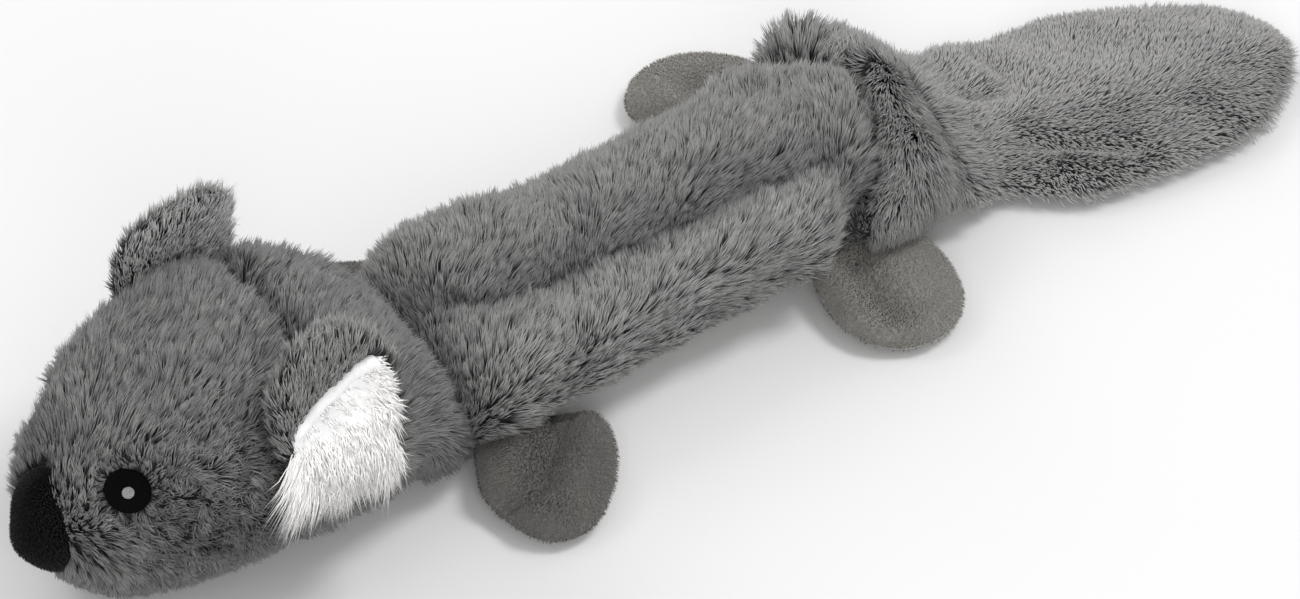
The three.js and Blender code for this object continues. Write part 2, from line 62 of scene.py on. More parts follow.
def placed(right, up, back, place):
    """The matrix of a camera or lamp that looks away from back"""
    return Matrix([*zip(right, up, back, place), (0, 0, 0, 1)])


def unit(vectors):
    length = np.linalg.norm(vectors, axis=-1, keepdims=True)
    return vectors / np.maximum(length, 1e-9)


def stack(*parts):
    return np.stack(parts, axis=-1)


def smoothstep(value, low, high):
    t = np.clip((value - low) / (high - low), 0, 1)
    return t * t * (3 - 2 * t)


def bell(distance, width):
    return np.exp(-((distance / width) ** 2))


# Camera: its angles are in degrees, its distance in millimetres, its focal length and the place
# of its axis in pixels of the picture's frame.

PICTURE_WIDTH, PICTURE_HEIGHT = 1300, 599
SENSOR_WIDTH = 36


def make_camera():
    azimuth, elevation, roll = (math.radians(v) for v in (54.155, 40.259, -1.622))
    distance, focal, centre_x, centre_y = 1982.08, 5503.15, 655.943, 300.506
    back = np.array([
        math.sin(azimuth) * math.cos(elevation),
        -math.cos(azimuth) * math.cos(elevation),
        math.sin(elevation),
    ])
    right = np.array([math.cos(azimuth), math.sin(azimuth), 0.0])
    up = np.cross(back, right)
    c, s = math.cos(roll), math.sin(roll)
    right, up = right * c + up * s, up * c - right * s
    data = bpy.data.cameras.new("camera")
    data.sensor_fit = "HORIZONTAL"
    data.sensor_width = SENSOR_WIDTH
    data.lens = focal * SENSOR_WIDTH / PICTURE_WIDTH
    data.shift_x = (PICTURE_WIDTH / 2 - centre_x) / PICTURE_WIDTH
    data.shift_y = (centre_y - PICTURE_HEIGHT / 2) / PICTURE_WIDTH
    data.clip_start = 0.05
    data.clip_end = 20
    camera = add_object("camera", data)
    camera.matrix_world = placed(right, up, back, metres(back * distance))
    bpy.context.scene.camera = camera


make_camera()

# Materials


def srgb(value):
    value = np.asarray(value, float) / 255
    linear = np.where(value <= 0.04045, value / 12.92, ((value + 0.055) / 1.055) ** 2.4)
    return (*(float(v) for v in np.broadcast_to(linear, 3)), 1.0)


def new_material(name, roughness, sheen=0.0, specular=0.3):
    material = bpy.data.materials.new(name)
    material.use_nodes = True
    tree = material.node_tree
    shader = tree.nodes["Principled BSDF"]
    for key, value in (
        ("Roughness", roughness), ("Specular IOR Level", specular), ("Sheen Weight", sheen),
        ("Sheen Roughness", 0.5),
    ):
        shader.inputs[key].default_value = value
    return material, tree, shader


def add_node(tree, kind, **settings):
    node = tree.nodes.new(kind)
    for key, value in settings.items():
        if key in node.inputs:
            node.inputs[key].default_value = value
        else:
            setattr(node, key, value)
    return node


def ramp_node(tree, source, stops):
    node = tree.nodes.new("ShaderNodeValToRGB")
    while len(node.color_ramp.elements) < len(stops):
        node.color_ramp.elements.new(0.5)
    for element, (position, colour) in zip(node.color_ramp.elements, stops):
        element.position = position
        element.color = colour
    tree.links.new(source, node.inputs["Fac"])
    return node


def noise(tree, **settings):
    """Noise in the piece's own space"""
    place = add_node(tree, "ShaderNodeTexCoord")
    node = add_node(tree, "ShaderNodeTexNoise", **settings)
    tree.links.new(place.outputs["Object"], node.inputs["Vector"])
    return node.outputs["Fac"]


def times(tree, colour, factor):
    node = tree.nodes.new("ShaderNodeMix")
    node.data_type = "RGBA"
    node.blend_type = "MULTIPLY"
    node.inputs["Factor"].default_value = 1.0
    tree.links.new(colour, node.inputs["A"])
    tree.links.new(factor, node.inputs["B"])
    return node.outputs["Result"]


def fur_material(name, root, middle, tip, spread, roughness=0.7, specular=0.1):
    """Every strand lies on the same strip of the map: v runs from its root to its tip, and u
    picks its own shade."""
    material, tree, shader = new_material(name, roughness, sheen=0.12, specular=specular)
    place = add_node(tree, "ShaderNodeUVMap", uv_map=FUR_UV)
    split = add_node(tree, "ShaderNodeSeparateXYZ")
    tree.links.new(place.outputs["UV"], split.inputs[0])
    along = ramp_node(tree, split.outputs["Y"], [
        (0.0, srgb(root)), (0.38, srgb(middle)), (0.8, srgb(tip)), (1.0, srgb(tip)),
    ])
    low, high = 1 - 2 * spread, 1 + 2 * spread
    shade = ramp_node(tree, split.outputs["X"], [
        (0.0, (low * 0.97, low * 0.98, low, 1)),
        (0.5, (1.0, 0.985, 0.97, 1)),
        (1.0, (high, high, high * 0.99, 1)),
    ])
    colour = times(tree, along.outputs["Color"], shade.outputs["Color"])
    tree.links.new(colour, shader.inputs["Base Color"])
    return material


def cloth_material(name, dark, light, grain, relief, sheen=0.3, specular=0.15):
    """Short pile: a fine grain and a wide, faint change of shade where the pile is brushed."""
    material, tree, shader = new_material(name, 0.9, sheen=sheen, specular=specular)
    fine = noise(tree, Scale=grain, Detail=5.0, Roughness=0.65)
    wide = noise(tree, Scale=50.0, Detail=2.0, Roughness=0.5)
    pile = ramp_node(tree, fine, [(0.3, srgb(dark)), (0.7, srgb(light))])
    brush = ramp_node(tree, wide, [
        (0.35, (0.84, 0.84, 0.85, 1)), (0.65, (1.1, 1.095, 1.09, 1)),
    ])
    colour = times(tree, pile.outputs["Color"], brush.outputs["Color"])
    tree.links.new(colour, shader.inputs["Base Color"])
    bump = add_node(tree, "ShaderNodeBump", Strength=relief, Distance=0.0006)
    tree.links.new(fine, bump.inputs["Height"])
    tree.links.new(bump.outputs["Normal"], shader.inputs["Normal"])
    return material


def plastic_material(name, dark, light, roughness):
    material, tree, shader = new_material(name, roughness, specular=0.5)
    flow = noise(tree, Scale=60.0, Detail=3.0)
    colour = ramp_node(tree, flow, [(0.3, srgb(dark)), (0.7, srgb(light))])
    tree.links.new(colour.outputs["Color"], shader.inputs["Base Color"])
    return material


grey_fur = fur_material("grey_plush_pile", 28, 78, 150, 0.26)
short_fur = fur_material("grey_plush_short_pile", 98, 142, 180, 0.1)
white_fur = fur_material("white_plush_pile", 250, 254, 255, 0.01, roughness=0.6)
velboa_fur = fur_material("velboa_pile", (92, 91, 88), (120, 118, 114), (146, 144, 139), 0.12)
black_fur = fur_material("black_velboa_pile", 2, 5, 11, 0.2, specular=0.02)
grey_skin = cloth_material("grey_plush_ground", 40, 66, 900, 0.5)
white_skin = cloth_material("white_plush_ground", 240, 252, 900, 0.4)
velboa = cloth_material("velboa", (96, 95, 92), (126, 124, 120), 1500, 0.5, sheen=0.5)
# One velboa cloth in two shades: the front paws darker with painted shade, the hind ones lighter
# with painted light.
velboa_shaded = cloth_material("velboa_shaded", (84, 83, 80), (112, 110, 107), 1500, 0.5, sheen=0.3)
velboa_lit = cloth_material(
    "velboa_lit", (112, 111, 107), (142, 140, 135), 1500, 0.5, sheen=0.6,
)
black_velboa = cloth_material("black_velboa", 4, 11, 1800, 0.6, sheen=0.04, specular=0.02)
eye_thread = cloth_material("eye_thread", 4, 14, 2400, 0.6, sheen=0.0, specular=0.03)
glint_thread = cloth_material("glint_thread", 105, 170, 2600, 0.7, sheen=0.05)
blown_plastic = plastic_material("blown_plastic", 200, 226, 0.4)
reed_plastic = plastic_material("reed_plastic", 226, 240, 0.3)

# Meshes


def mesh_object(name, points, faces, material):
    """faces: a list of arrays, one for each number of corners"""
    mesh = bpy.data.meshes.new(name)
    points = metres(points)
    corners = np.concatenate([block.ravel() for block in faces])
    totals = np.concatenate([np.full(len(block), block.shape[1]) for block in faces])
    starts = np.concatenate([[0], np.cumsum(totals)[:-1]])
    mesh.vertices.add(len(points))
    mesh.vertices.foreach_set("co", points.astype(np.float32).ravel())
    mesh.loops.add(len(corners))
    mesh.loops.foreach_set("vertex_index", corners.astype(np.int32))
    mesh.polygons.add(len(totals))
    mesh.polygons.foreach_set("loop_start", starts.astype(np.int32))
    mesh.polygons.foreach_set("loop_total", totals.astype(np.int32))
    mesh.polygons.foreach_set("use_smooth", np.ones(len(totals), bool))
    mesh.update(calc_edges=True)
    mesh.materials.append(material)
    return add_object(name, mesh)


def set_uv(piece, uv):
    layer = piece.data.uv_layers.new(name=FUR_UV)
    layer.data.foreach_set("uv", uv.astype(np.float32).ravel())


def wobble(points, size, seed):
    """A smooth value from about -1 to 1 that changes over about that many millimetres"""
    random = np.random.default_rng(seed)
    total = np.zeros(points.shape[:-1])
    for _ in range(7):
        way = unit(random.normal(size=3)) * (2 * math.pi / size) * random.uniform(0.6, 1.5)
        total += np.sin(points @ way + random.uniform(0, 2 * math.pi))
    return total / 4


def line_distance(points, line):
    """The distance over the floor from each point to a line of (x, y) corners"""
    flat = points[..., :2]
    nearest = np.full(flat.shape[:-1], 1e9)
    for start, end in zip(np.array(line[:-1], float), np.array(line[1:], float)):
        way = end - start
        t = np.clip(((flat - start) @ way) / (way @ way), 0, 1)
        nearest = np.minimum(nearest, np.linalg.norm(flat - start - t[..., None] * way, axis=-1))
    return nearest


def band(points, line, width):
    """1 on a line over the floor, and less and less beside it"""
    return bell(line_distance(points, line), width)


def spot(points, centre, size):
    return bell(np.linalg.norm(points - np.array(centre, float), axis=-1), size)


def spline(places, values, wanted):
    """A smooth curve through values, without overshoot"""
    places, values = np.asarray(places, float), np.asarray(values, float)
    steps = np.diff(places)
    slopes = np.diff(values, axis=0) / steps[:, None]
    same_way = slopes[:-1] * slopes[1:] > 0
    total = slopes[:-1] + slopes[1:] + 1e-12 * np.sign(slopes[1:])
    with np.errstate(invalid="ignore"):
        middle = np.where(same_way, 2 * slopes[:-1] * slopes[1:] / total, 0)
    tangents = np.vstack([slopes[:1], middle, slopes[-1:]])
    index = np.clip(np.searchsorted(places, wanted) - 1, 0, len(steps) - 1)
    h = steps[index][:, None]
    t = ((wanted - places[index]) / steps[index])[:, None]
    return (
        values[index] * (2 * t**3 - 3 * t**2 + 1)
        + tangents[index] * h * (t**3 - 2 * t**2 + t)
        + values[index + 1] * (3 * t**2 - 2 * t**3)
        + tangents[index + 1] * h * (t**3 - t**2)
    )


def section(half, low, high, columns, upper, lower):
    """Rounded cross-sections, one row for each ring: (across, up)"""
    angle = 2 * np.pi * np.arange(columns) / columns
    c, s = np.cos(angle)[None], np.sin(angle)[None]
    power = 2 / np.where(s < 0, lower, upper)
    across = np.sign(c) * np.abs(c) ** power
    up = np.sign(s) * np.abs(s) ** power
    return half[:, None] * across, (low + high)[:, None] / 2 + (high - low)[:, None] / 2 * up


def grid_faces(rows, columns):
    row, column = np.meshgrid(np.arange(rows - 1), np.arange(columns), indexing="ij")
    following = (column + 1) % columns
    return stack(
        row * columns + column,
        (row + 1) * columns + column,
        (row + 1) * columns + following,
        row * columns + following,
    ).reshape(-1, 4)


def grid_normals(grid):
    along = np.gradient(grid, axis=0)
    around = np.roll(grid, -1, axis=1) - np.roll(grid, 1, axis=1)
    return unit(np.cross(along, around))


def every(corners):
    return np.ones(len(corners), bool)


def laid(ways, normals, turn):
    """Ways laid flat on a surface, then turned about its normals"""
    ways = unit(ways - (ways * normals).sum(-1, keepdims=True) * normals)
    side = np.cross(normals, ways)
    return ways * np.cos(turn)[:, None] + side * np.sin(turn)[:, None]


class Surface:
    """A closed loft: rows of points round a form, with a closing point at each end"""

    def __init__(self, grid, first, last):
        rows, columns = grid.shape[:2]
        self.points = np.vstack([grid.reshape(-1, 3), first, last])
        self.normals = np.vstack([
            grid_normals(grid).reshape(-1, 3),
            unit(first - grid[2].mean(0)),
            unit(last - grid[-3].mean(0)),
        ])
        a = np.arange(columns)
        b = (a + 1) % columns
        end = rows * columns
        near = stack(a, b, np.full(columns, end))
        far = stack(b, a, np.full(columns, end + 1))
        far[:, :2] += (rows - 1) * columns
        self.quads, self.caps = grid_faces(rows, columns), np.vstack([near, far])

    def triangles(self):
        return np.vstack([self.quads[:, [0, 1, 2]], self.quads[:, [0, 2, 3]], self.caps])

    def piece(self, name, keep, material):
        """The faces whose corners satisfy keep(points of each face)"""
        blocks = [b[keep(self.points[b])] for b in (self.quads, self.caps)]
        used = np.unique(np.concatenate([b.ravel() for b in blocks]))
        index = np.full(len(self.points), -1)
        index[used] = np.arange(len(used))
        return mesh_object(name, self.points[used], [index[b] for b in blocks if len(b)], material)

    def scatter(self, density, seed):
        """Random places on the surface: density gives strands for each square millimetre"""
        random = np.random.default_rng(seed)
        triangles = self.triangles()
        corners = self.points[triangles]
        area = np.linalg.norm(
            np.cross(corners[:, 1] - corners[:, 0], corners[:, 2] - corners[:, 0]), axis=-1
        ) / 2
        wanted = area * density(corners.mean(1), unit(self.normals[triangles].mean(1)))
        count = np.floor(wanted + random.uniform(size=len(wanted))).astype(int)
        chosen = np.repeat(np.arange(len(triangles)), count)
        u, v = random.uniform(size=(2, len(chosen)))
        flip = u + v > 1
        u[flip], v[flip] = 1 - u[flip], 1 - v[flip]
        weights = stack(1 - u - v, u, v)[..., None]
        places = (corners[chosen] * weights).sum(1)
        normals = unit((self.normals[triangles][chosen] * weights).sum(1))
        return places, normals


# Pile: each strand is a small curved spike with three sides, gathered towards its neighbours

LOWEST_STRAND = 0.25
LOCK_REACH = 4.5
RING_PLACES = np.array([0.0, 0.5])
RING_WIDTHS = np.array([0.85, 0.8])
STRAND_QUADS = np.array([[0, 1, 4, 3], [1, 2, 5, 4], [2, 0, 3, 5]])
STRAND_TIPS = np.array([[3, 4, 6], [4, 5, 6], [5, 3, 6], [2, 1, 0]])


def strand_mesh(name, roots, normals, ways, lengths, width, material, seed, rise, gather,
                group=9, sag=0.0, stray=0.22, tone=0.0):
    """rise: the angles in degrees at root and tip; gather: how far the tips of a group are
    drawn to its leader; sag: how far a tip sinks; stray: how far it turns aside; tone: above
    0 lighter, below 0 darker"""
    random = np.random.default_rng(seed)
    count = len(roots)
    ways = laid(ways, normals, random.normal(scale=stray, size=count))
    lift = np.radians(rise[1] + random.normal(scale=8, size=count))[:, None]
    first = math.radians(rise[0])
    length = (lengths * random.uniform(0.72, 1.18, size=count))[:, None]
    start = roots - normals * 0.6
    bend = roots + length * 0.5 * (math.cos(first) * ways + math.sin(first) * normals)
    tip = roots + length * (np.cos(lift) * ways + np.sin(lift) * normals)
    tip[:, 2] -= sag * length[:, 0]
    leaders = random.permutation(count)[: max(1, count // group)]
    tree = kdtree.KDTree(len(leaders))
    for index, leader in enumerate(leaders):
        tree.insert(roots[leader], index)
    tree.balance()
    nearest = leaders[np.array([tree.find(root)[1] for root in roots])]
    near = bell(np.linalg.norm(roots[nearest] - roots, axis=-1), LOCK_REACH)[:, None]
    pull = np.reshape(gather, (-1, 1)) * near * random.uniform(0.6, 1.2, size=(count, 1))
    tip = tip + (tip[nearest] - tip) * pull
    bend = bend + (bend[nearest] - bend) * pull * 0.5
    shade = 0.55 * random.uniform(size=count) + 0.45 * random.uniform(size=count)[nearest]
    shade = np.clip(0.25 + 0.5 * shade + 0.5 * tone, 0, 1)
    side = unit(np.cross(normals, tip - start))
    widths = width * random.uniform(0.7, 1.2, size=count)
    widths = (widths[:, None] * RING_WIDTHS)[..., None]
    t = RING_PLACES[None, :, None]
    spine = (1 - t) ** 2 * start[:, None] + 2 * t * (1 - t) * bend[:, None] + t * t * tip[:, None]
    wide = side[:, None] * widths / 2
    deep = normals[:, None] * widths * 0.42
    rings = np.stack([spine - wide, spine + wide, spine + deep], axis=2)
    points = np.concatenate([rings.reshape(count, 6, 3), tip[:, None]], axis=1)
    points[..., 2] = np.maximum(points[..., 2], LOWEST_STRAND)
    first_point = (np.arange(count) * points.shape[1])[:, None, None]
    quads = (STRAND_QUADS[None] + first_point).reshape(-1, 4)
    tips = (STRAND_TIPS[None] + first_point).reshape(-1, 3)
    piece = mesh_object(name, points.reshape(-1, 3), [quads, tips], material)
    strip = 0.02
    u = (shade * (1 - strip))[:, None] + strip * np.array([0, 1, 0.5, 0, 1, 0.5, 0.5])
    v = np.broadcast_to(np.array([0, 0, 0.02, 0.5, 0.5, 0.52, 1]), u.shape)
    uv = stack(u, v).reshape(-1, 2)
    set_uv(piece, uv[np.concatenate([quads.ravel(), tips.ravel()])])
    return piece


# Where the toy bends: planes across the neck, the waist and the tail's root

NECK = np.array([0.0, -109.0, 24.0])
WAIST = np.array([0.0, 89.0, 24.0])
TAIL = np.array([-2.0, 141.0, 7.0])
WAIST_WAY = np.array([math.sin(math.radians(20)), math.cos(math.radians(20)), 0.0])
TAIL_WAY = np.array([math.sin(math.radians(19)), math.cos(math.radians(19)), 0.0])
TAIL_SIDE = np.array([TAIL_WAY[1], -TAIL_WAY[0], 0])
NECK_WAY = np.array([0.0, 1.0, 0.0])
PLANES = [
    (NECK, NECK_WAY, -19), (NECK, NECK_WAY, 0), (NECK, NECK_WAY, 19),
    (WAIST, WAIST_WAY, -22), (WAIST, WAIST_WAY, 0), (WAIST, WAIST_WAY, 19),
    (TAIL, TAIL_WAY, -11), (TAIL, TAIL_WAY, 0), (TAIL, TAIL_WAY, 13),
]
# One zone before each plane and one after the last: it rides on one body or lies between two.
(HEAD, NECK_FRONT, NECK_REAR, BODY, WAIST_FRONT,
 WAIST_REAR, RUMP, ROOT_FRONT, ROOT_REAR, TAIL_END) = range(10)
REAR = (WAIST_REAR, RUMP)
ZONES = [
    ("head", "head"), ("neck_front", "head", "neck"), ("neck_rear", "neck", "body"),
    ("body", "body"), ("waist_front", "body", "waist"), ("waist_rear", "waist", "rump"),
    ("rump", "rump"), ("tail_root_front", "rump", "tail_root"),
    ("tail_root_rear", "tail_root", "tail"), ("tail", "tail"),
]


def zone_of(points):
    """The zone, from HEAD to TAIL_END, that each point belongs to"""
    return sum(
        ((points - centre) @ way > reach).astype(int) for centre, way, reach in PLANES
    )


def face_zone(corners):
    """The middle decides, but a face that reaches into a bending zone belongs to it"""
    zone = zone_of(corners.mean(1))
    each = zone_of(corners)
    for stiff in (HEAD, BODY, RUMP, TAIL_END):
        before, after = max(stiff - 1, HEAD), min(stiff + 1, TAIL_END)
        here = zone == stiff
        zone = np.where(here & (each.min(1) < stiff), before, zone)
        zone = np.where(here & (each.max(1) > stiff), after, zone)
    return zone


def attach(piece, zone):
    """Rides on the zone's body, or, between two bodies, stays unparented with its transform baked
    in
    """
    bodies = ZONES[zone][1:]
    if len(bodies) == 1:
        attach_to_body(piece, bodies[0])
        return
    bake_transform(piece)


# The long form: x, y, turn, half width, low, high from the muzzle to the tail's root, then
# reach, sideways, half width, low, high along the tail

LONG_RINGS = [
    (0, -257, 0, 6, 29, 46), (0, -255.5, 0, 11.5, 23, 52), (0, -252, 0, 18.5, 15, 58.5),
    (0, -245, 0, 26, 8, 65), (0, -233, 0, 33.5, 3.5, 71), (0, -220, 0, 40, 2, 77.5),
    (0, -205, 0, 45, 1.5, 84), (0, -185, 0, 47.7, 1.5, 88), (0, -165, 0, 47.2, 1.5, 87),
    (0, -150, 0, 44.5, 1.5, 83), (0, -135, 0, 41.8, 1.5, 72), (0, -122, 0, 39.5, 2, 56.5),
    (0, -114, 0, 37, 3, 42), (0, -109, 0, 34.5, 4, 35.5), (0, -104, 0, 36, 3, 37.5),
    (0, -96, 0, 39.5, 1, 44), (-0.5, -80, 0, 40.5, 0.4, 47.5), (-1, -40, 0, 40.5, 0.3, 46.5),
    (-1.4, 0, 0, 39.8, 0.3, 46.5), (-1.8, 25, 4, 40.2, 0.3, 46.5), (-2, 48, 9, 41.4, 0.3, 46.5),
    (-2, 66, 15, 43.8, 0.4, 46), (-2.2, 80, 19, 45.8, 0.6, 44.5), (-3, 92, 20, 46.5, 0.8, 43.5),
    (-4, 101, 20, 46.5, 0.8, 41), (-5, 110, 20, 46.5, 0.5, 37), (-5.5, 120, 20, 46, 0.4, 26),
    (-5, 130, 20, 44, 0.4, 17), (-3.5, 138, 20, 41, 0.6, 13), (-3, 142, 19, 39.5, 1, 11.5),
]
TAIL_RINGS = [
    (6, -3.5, 41, 0.8, 11), (14, -1.2, 43, 0.8, 11), (20, 0.6, 44.3, 0.8, 11.5),
    (37, 1.4, 47.3, 0.8, 11.5), (54, -0.6, 47.3, 0.8, 11.5), (69, -1.5, 45.3, 0.8, 11.5),
    (84, -2.2, 43.4, 0.8, 11.5), (98, -4, 39.2, 0.8, 11.5), (111, -6, 32, 0.8, 11),
    (121, -8.6, 24, 1, 10), (129, -10.6, 14.5, 1.5, 8.5), (133, -11.8, 6.5, 2.5, 7),
]
LOWEST_COVER = 0.3


def long_surface(columns=128, step=2.6):
    rings = list(LONG_RINGS)
    for reach, sideways, half, low, high in TAIL_RINGS:
        x, y, _ = TAIL + TAIL_WAY * reach + TAIL_SIDE * sideways
        rings.append((x, y, 19, half, low, high))
    rings = np.array(rings, float)
    travel = np.hypot(*np.diff(rings[:, :2], axis=0).T)
    places = np.concatenate([[0], np.cumsum(np.maximum(travel, 0.5))])
    wanted = np.linspace(0, places[-1], int(places[-1] / step))
    x, y, turn, half, low, high = spline(places, rings, wanted).T
    across, up = section(half, low, high, columns, upper=2.3, lower=2.0)
    turn = np.radians(turn)[:, None]
    grid = stack(x[:, None] + np.cos(turn) * across, y[:, None] - np.sin(turn) * across, up)
    normals = grid_normals(grid)
    grid = grid + normals * long_relief(grid, normals)[..., None]
    grid[..., 2] = np.maximum(grid[..., 2], LOWEST_COVER)
    return Surface(grid, grid[0].mean(0) + [0, -0.8, 0], grid[-1].mean(0) + TAIL_WAY * 0.8)


BODY_VALLEY = [(-2, -100), (10, -77), (13, -37), (14, 0), (16, 38), (20, 60)]
NEAR_RIDGE = [(36, -80), (33, -31), (33, 11), (33, 50)]
FAR_RIDGE = [(-22, -83), (-16, -39), (-15, 10), (-13, 55), (-12, 90)]
FAR_SHOULDER = [(-27, -96), (-27, -78), (-27, -52)]
HEAD_SEAM = [(-40, -163), (-16, -166), (4, -166), (24, -170), (37, -184), (45, -192)]
TAIL_CREASES = [[(-24, 171), (-9, 172), (-2, 165), (-12, 150)], [(24, 150), (38, 168), (50, 182)]]
GATHER = [
    (62, 32), (50, 45), (38, 57), (34, 67), (26, 81), (10, 90), (0, 98), (-14, 102), (-27, 93),
    (-38, 81), (-52, 75),
]
EYE = np.array([27.8, -237.6, 60.3])
FAR_EYE = np.array([-28.8, -237.8, 57.6])
# No strand grows this near to an eye's middle, or within this reach of the nose's middle.
EYE_CLEARING = 8.0
NOSE, NOSE_REACH = np.array([0, -253.0, 39.0]), np.array([12.5, 11, 19.0])


def long_relief(points, normals):
    """How far the plain form is pushed out or drawn in"""
    top = smoothstep(normals[..., 2], 0.2, 0.7)
    body = smoothstep(points[..., 1], -100, -85) * (1 - smoothstep(points[..., 1], 70, 100))
    relief = body * top * (
        -8 * band(points, BODY_VALLEY, 9.5)
        + 3 * band(points, NEAR_RIDGE, 8)
        + 2.5 * band(points, FAR_RIDGE, 12)
        + 4.0 * band(points, FAR_SHOULDER, 13)
    )
    relief -= 6 * top * band(points, HEAD_SEAM, 4)
    gather = line_distance(points, GATHER)
    raised = smoothstep(points[..., 2], 6, 22)
    relief += raised * (-17 * bell(gather, 4.6) + 3 * bell(gather - 14, 7))
    for side in (-1, 1):
        relief -= 6 * spot(points, (side * 44, -158, 76), 9)
        relief -= 1.5 * spot(points, EYE if side > 0 else FAR_EYE, 9)
    relief -= 4 * spot(points, (-8, -250, 58), 12)
    relief += 8.5 * spot(points, (-46, 101, 36), 12)
    relief += 3 * spot(points, (30, 108, 30), 14)
    tail = smoothstep(points[..., 1], 140, 160)
    for crease in TAIL_CREASES:
        relief -= tail * top * 4.0 * band(points, crease, 5)
    relief += tail * top * 1.5 * wobble(points, 42, 3)
    relief += (1 - tail) * smoothstep(points[..., 2], 4, 16) * 1.1 * wobble(points, 38, 5)
    return relief


long_form = long_surface()

# Combing: which way the pile lies, and how long it is


def eye_distance(points):
    return np.minimum(*(np.linalg.norm(points - eye, axis=-1) for eye in (EYE, FAR_EYE)))


def comb(points, normals):
    y, z = points[:, 1], points[:, 2]
    zone = zone_of(points)
    ways = np.zeros_like(points)
    radial = unit(points - np.array([0, -262.0, 38.0]))
    upper = smoothstep(z, 45, 78)[:, None]
    lower = 1 - smoothstep(z, 14, 48)[:, None]
    sideways = np.sign(points[:, :1])
    head = (
        radial * 0.7
        + upper * np.array([-0.4, 0.35, 0.1])
        + lower * (np.array([0, -0.15, -0.9]) + np.array([0.25, 0, 0]) * sideways)
    )
    for eye in (EYE, FAR_EYE):
        near = smoothstep(np.linalg.norm(points - eye, axis=-1), 8, 17)[:, None]
        head = unit(head) * near + unit(points - eye) * (1 - near)
    over = np.cross(normals, np.array([0, 1.0, 0]))
    high = smoothstep(z, 12, 34)[:, None]
    front = 1 - smoothstep(y, -70, 20)[:, None]
    body = np.array([0, 1.0, 0]) + over * (0.25 + high * (0.5 + 0.5 * front))
    near = smoothstep(points[:, 0], -34, -8)[:, None]
    rump = near * (-WAIST_WAY * 0.5 - over * 0.7) + (1 - near) * (over * 0.9 + WAIST_WAY * 0.3)
    across = (points - TAIL) @ TAIL_SIDE
    tail = TAIL_WAY * 0.5 + TAIL_SIDE * (across / 40)[:, None] * 0.9 + np.array([0, 0, -0.1])
    behind = y + 0.55 * points[:, 0] > 88
    waist = (zone == WAIST_FRONT) | (zone == WAIST_REAR)
    for which, way in (
        (zone <= NECK_FRONT, head), ((zone >= NECK_REAR) & (zone <= WAIST_REAR), body),
        (waist & behind | (zone == RUMP), rump), (zone >= ROOT_FRONT, tail),
    ):
        ways[which] = way[which]
    swirl = 0.4 * wobble(points, 46, 11) + 0.3 * wobble(points, 19, 12)
    swirl += cheek(points) * 1.7 * wobble(points, 7.5, 13)
    return laid(ways, normals, swirl)


def cheek(points):
    """Where the pile is ruffled, from 0 to 1"""
    both = np.abs(points[:, :1]) * [1, 0, 0] + points * [0, 1, 1]
    return np.clip(spot(both, (48, -203, 48), 22) + spot(both, (40, -221, 34), 20), 0, 1)


def pile_length(points, normals, zone):
    base = np.array([11.5, 11, 10.5, 11.5, 11.5, 11.5, 11, 7.5, 5.2, 4.8])[zone]
    edge = 1 - smoothstep(np.abs(normals[:, 2]), 0.2, 0.7)
    flap = zone >= ROOT_REAR
    base = base + np.where(flap, 3.5 * edge, 0)
    near_eye = smoothstep(eye_distance(points), 7, np.where(points[:, 0] > 0, 19, 12))
    muzzle = smoothstep(points[:, 1], -258, -235)
    head = zone <= NECK_FRONT
    base = np.where(head, base * (0.3 + 0.7 * near_eye) * (0.62 + 0.38 * muzzle), base)
    base = np.where(head, base * (1 - 0.38 * cheek(points)), base)
    neck = (zone == NECK_FRONT) | (zone == NECK_REAR)
    under = smoothstep(points[:, 2], np.where(head, 4, 10), np.where(neck, 20, 35))
    under = np.maximum(under, smoothstep(normals[:, 2], 0.25, 0.65))
    under = np.where(flap, np.maximum(under, smoothstep(normals[:, 2], -0.6, 0.1)), under)
    tucked = smoothstep(line_distance(points, GATHER), 1, 8)
    tucked = np.where(points[:, 2] > 8, 0.35 + 0.65 * tucked, 1)
    tucked *= 1 - 0.4 * bell(points[:, 1] - NECK[1], 8)
    tucked *= 1 - 0.5 * band(points, HEAD_SEAM, 5)
    tucked *= 1 - 0.25 * band(points, BODY_VALLEY, 8)
    return base * tucked * (0.36 + 0.64 * under) * (1 + 0.1 * wobble(points, 24, 21))


def velboa_height(points):
    """How high the velboa belly reaches up the sides"""
    near = smoothstep(points[..., 0], 0, 20) * smoothstep(points[..., 1], 5, 50)
    return 13 + 10 * near * (1 - smoothstep(points[..., 1], 42, 60))


def pile_density(points, normals):
    """Strands for each square millimetre"""
    zone = zone_of(points)
    density = np.array([2.3] * 7 + [2.2, 2.1, 2.1])[zone]
    furred = (zone < BODY) | (zone > RUMP)
    above = smoothstep(points[:, 2] - velboa_height(points), 0, 4)
    above = np.maximum(above, smoothstep(normals[:, 2], 0.45, 0.7))
    density = density * np.where(furred, 1, above)
    density = np.where((normals[:, 2] < -0.5) & (points[:, 2] < 6), density * 0.3, density)
    density = np.where(eye_distance(points) < EYE_CLEARING, 0, density)
    in_nose = ((points - NOSE) / NOSE_REACH) ** 2
    return np.where(in_nose.sum(-1) < 1, 0, density)


